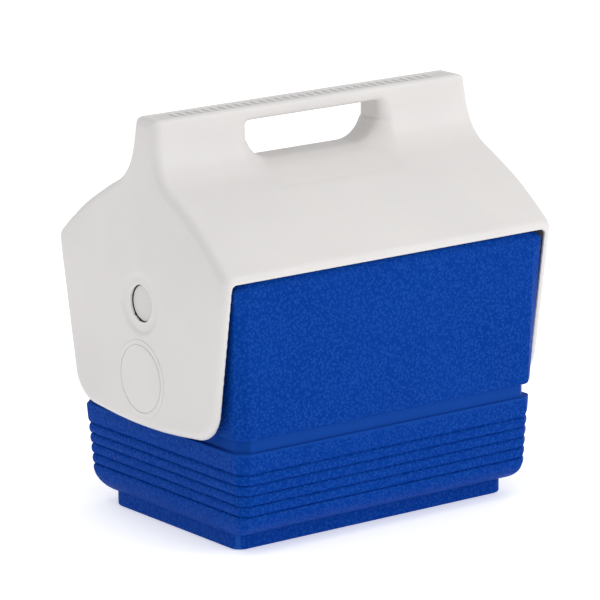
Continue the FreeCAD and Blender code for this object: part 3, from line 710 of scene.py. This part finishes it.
def strip_floor(surface):
    """One on the floor of the strip along the grip, nought elsewhere."""
    across = surface.span(surface.maths("ABSOLUTE", surface.axis("Y"), 0),
                          (STRIP_HALF_Y - 0.2) * MM, (STRIP_HALF_Y + 0.2) * MM, 1, 0)
    top = surface.span(surface.axis("Z"), (HEIGHT - 0.35) * MM, (HEIGHT - 0.15) * MM, 1, 0)
    above = surface.span(surface.axis("Z"), (HEIGHT - 1.2) * MM, (HEIGHT - 1.0) * MM, 0, 1)
    return surface.maths("MULTIPLY", surface.maths("MULTIPLY", across, top), above)


def lid_plastic():
    """Off-white satin plastic with rubbed edges, also lightened as a painted highlight, faint
    scuffs and a soft mould skin.
    """
    surface = Surface("lid_plastic", LID_COLOUR, 0.4, 0.35)
    cloud = surface.span(surface.noise(0.07, 5), 0.35, 0.65, 0, 1)
    body = surface.colour_between(cloud, LID_COLOUR, LID_TINT)
    scratch_place = surface.stretched((1.0, 0.12, 0.9))
    scratches = surface.span(surface.noise(0.0022, 2, scratch_place), 0.70, 0.78, 0, 0.35)
    scuffed = surface.colour_between(scratches, body, (0.58, 0.565, 0.555))
    # Outward edges painted lighter: partly rubbed wear, partly a painted highlight along the
    # rounded edges.
    rubbed_and_highlit_edges = surface.span(surface.pointiness(), 0.515, 0.56, 0, 0.5)
    edged = surface.colour_between(rubbed_and_highlit_edges, scuffed, (0.76, 0.745, 0.735))
    surface.paint(surface.colour_between(strip_floor(surface), edged, (0.60, 0.59, 0.585)))
    gloss = surface.span(surface.noise(0.02, 5), 0.3, 0.7, 0.36, 0.47)
    surface.roughen(surface.maths("ADD", gloss, surface.maths("MULTIPLY", scratches, 0.3)))
    surface.bump((surface.noise(0.0011, 4), 0.00003), (surface.noise(0.035, 2), 0.00015))
    return surface.material


def shell_plastic():
    """Royal blue plastic with a leather grain, left smooth in the recessed band."""
    colour, tint = (0.0010, 0.039, 0.275), (0.0008, 0.036, 0.260)
    surface = Surface("shell_plastic", colour, 0.42, 0.015)
    cloud = surface.span(surface.noise(0.05, 5), 0.35, 0.65, 0, 1)
    body = surface.colour_between(cloud, colour, tint)
    pebbles = surface.cells(0.0019, 0.35)
    fine = surface.cells(0.0011, 0.3)
    grain = surface.maths("ADD", pebbles, surface.maths("MULTIPLY", fine, 0.5))
    above = surface.span(surface.axis("Z"), (PANEL_BOTTOM_Z - 1.3) * MM,
                         (PANEL_BOTTOM_Z + 0.7) * MM, 0, 1, True)
    below = surface.span(surface.axis("Z"), (BAND_TOP_Z - 2.2) * MM,
                         (BAND_TOP_Z - 0.2) * MM, 1, 0, True)
    grained = surface.maths("MAXIMUM", above, below)
    relief = surface.maths("MULTIPLY", grain, grained)
    flecks = surface.span(grain, 0.35, 0.85, 1.0, 0.0)
    smooth = surface.span(grained, 0, 1, 0.75, 0)
    share = surface.maths("ADD", surface.maths("MULTIPLY", flecks, grained), smooth)
    speckled = surface.colour_between(share, body, (0.0080, 0.066, 0.350))
    # Outward edges painted lighter blue: a painted highlight where the groove and band edges
    # catch the light, and partly rubbed wear.
    rubbed_and_highlit_edges = surface.span(surface.pointiness(), 0.52, 0.60, 0, 0.5)
    surface.paint(surface.colour_between(rubbed_and_highlit_edges, speckled, (0.02, 0.11, 0.46)))
    gloss = surface.span(surface.noise(0.015, 5), 0.3, 0.7, 0.36, 0.48)
    surface.roughen(gloss)
    surface.bump((relief, -0.0004), (surface.noise(0.03, 2), 0.0001))
    return surface.material


def foam_block():
    """Cut closed-cell foam: pale yellow, with open bubbles whose hollows have painted shade."""
    surface = Surface("foam_cells", (0.80, 0.70, 0.46), 0.85, 0.3)
    bubbles = surface.cells(0.0009, 0.2)
    # Painted shade: the foam is darker in the pit of each bubble, where shade falls.
    painted_pit_shade = surface.span(bubbles, 0.1, 0.6, 0, 1)
    surface.paint(surface.colour_between(painted_pit_shade, (0.62, 0.50, 0.30), (0.86, 0.78, 0.55)))
    surface.roughen(surface.span(surface.noise(0.01, 3), 0.3, 0.7, 0.8, 0.95))
    surface.bump((bubbles, 0.0003))
    return surface.material


def spring_wire():
    """Drawn steel wire with fine lengthwise streaks."""
    surface = Surface("spring_wire", (0.55, 0.55, 0.56), 0.3)
    surface.shader.inputs["Metallic"].default_value = 1.0
    streaks = surface.noise(0.0006, 4, surface.stretched((0.2, 1.0, 1.0)))
    surface.paint(surface.colour_between(streaks, (0.42, 0.42, 0.43), (0.66, 0.66, 0.66)))
    surface.roughen(surface.span(streaks, 0.3, 0.7, 0.22, 0.4))
    surface.bump((streaks, 0.00002))
    return surface.material


def set_material(obj, material):
    """Gives an object one material, in place of any it has."""
    obj.data.materials.clear()
    obj.data.materials.append(material)


def dress_nodes():
    """Gives each CAD node that stays its material."""
    by_slot = {
        "liner_white": moulded("liner_plastic", (0.74, 0.74, 0.73), (0.70, 0.70, 0.69), 0.25),
        "plug_black": moulded("plug_plastic", HIDDEN_BLUE, HIDDEN_BLUE_TINT, 0.5, 0.3),
        "socket_plastic": moulded("socket_plastic", HIDDEN_BLUE, HIDDEN_BLUE_TINT, 0.45, 0.3),
        "pin_plastic": moulded("pin_acetal", ACETAL, ACETAL_TINT, 0.28),
        "washer_plastic": moulded("washer_acetal", ACETAL, ACETAL_TINT, 0.3),
        "guide_plastic": moulded("guide_acetal", (0.66, 0.66, 0.65), (0.6, 0.6, 0.59), 0.35),
        "button_white": moulded("button_plastic", (0.62, 0.605, 0.60), (0.60, 0.585, 0.58),
                                0.33, 0.35),
        "cap_white": moulded("cap_plastic", LID_COLOUR, LID_TINT, 0.4, 0.35),
        "foam": foam_block()}
    for part in frame["record"]["subparts"]:
        slot = part["material_slot"]
        if slot in by_slot:
            node = frame["nodes"][part["node"]]
            set_material(node, by_slot[slot])
            shade(node, 32)


# ---------------------------------------------------------------- stage
LIGHTS_AIM = (0, 0, 0.12)


def make_stage():
    """Pale paper floor and even white surroundings."""
    bpy.ops.mesh.primitive_plane_add(size=60, location=(0, 0, 0))
    floor = bpy.context.object
    floor.name = "floor"
    paper = Surface("floor_paper", (0.96, 0.96, 0.96), 0.85, 0.2)
    paper.shader.inputs["Emission Color"].default_value = (1, 1, 1, 1)
    paper.shader.inputs["Emission Strength"].default_value = 0.4
    paper.bump((paper.noise(0.004, 3), 0.00005))
    set_material(floor, paper.material)
    world = bpy.data.worlds.new("studio")
    bpy.context.scene.world = world
    world.use_nodes = True
    background = world.node_tree.nodes["Background"]
    background.inputs["Color"].default_value = (1, 1, 1, 1)
    background.inputs["Strength"].default_value = 0.65


def area_light(name, place, size, power):
    """Soft box aimed at the chest. Place and size in metres, power in watts."""
    data = bpy.data.lights.new(name, "AREA")
    data.shape = "RECTANGLE"
    data.size, data.size_y = size
    data.energy = power
    light = bpy.data.objects.new(name, data)
    light.location = place
    aim = Vector(LIGHTS_AIM) - Vector(place)
    light.rotation_euler = aim.to_track_quat("-Z", "Y").to_euler()
    bpy.context.scene.collection.objects.link(light)


def make_camera():
    """Long lens from the front left, a little above the chest."""
    azimuth, elevation, roll = (math.radians(a) for a in (36.16, 13.65, -0.88))
    target = Vector((-0.00476, 0, 0.12741))
    distance = 2.70624
    away = Vector((-math.sin(azimuth) * math.cos(elevation),
                   -math.cos(azimuth) * math.cos(elevation), math.sin(elevation)))
    data = bpy.data.cameras.new("camera")
    data.sensor_width = 36
    data.lens = 264
    data.clip_end = 100
    camera = bpy.data.objects.new("camera", data)
    turn = (-away).to_track_quat("-Z", "Y").to_matrix()
    camera.matrix_world = (Matrix.Translation(target + away * distance)
                           @ (turn @ Matrix.Rotation(roll, 3, "Z")).to_4x4())
    bpy.context.scene.collection.objects.link(camera)
    bpy.context.scene.camera = camera


lid = make_lid()
chest = make_outer_shell()
set_material(lid, lid_plastic())
set_material(chest, shell_plastic())
set_material(make_spring(), spring_wire())
dress_nodes()
make_stage()
area_light("overhead", (-0.3, -0.3, 3.0), (3.0, 3.0), 27)
area_light("front_right", (1.9, -2.3, 1.3), (1.8, 1.8), 31)
area_light("left_rear", (-2.8, 0.9, 1.2), (1.8, 1.8), 2)
make_camera()
bpy.context.scene.view_settings.view_transform = "Standard"
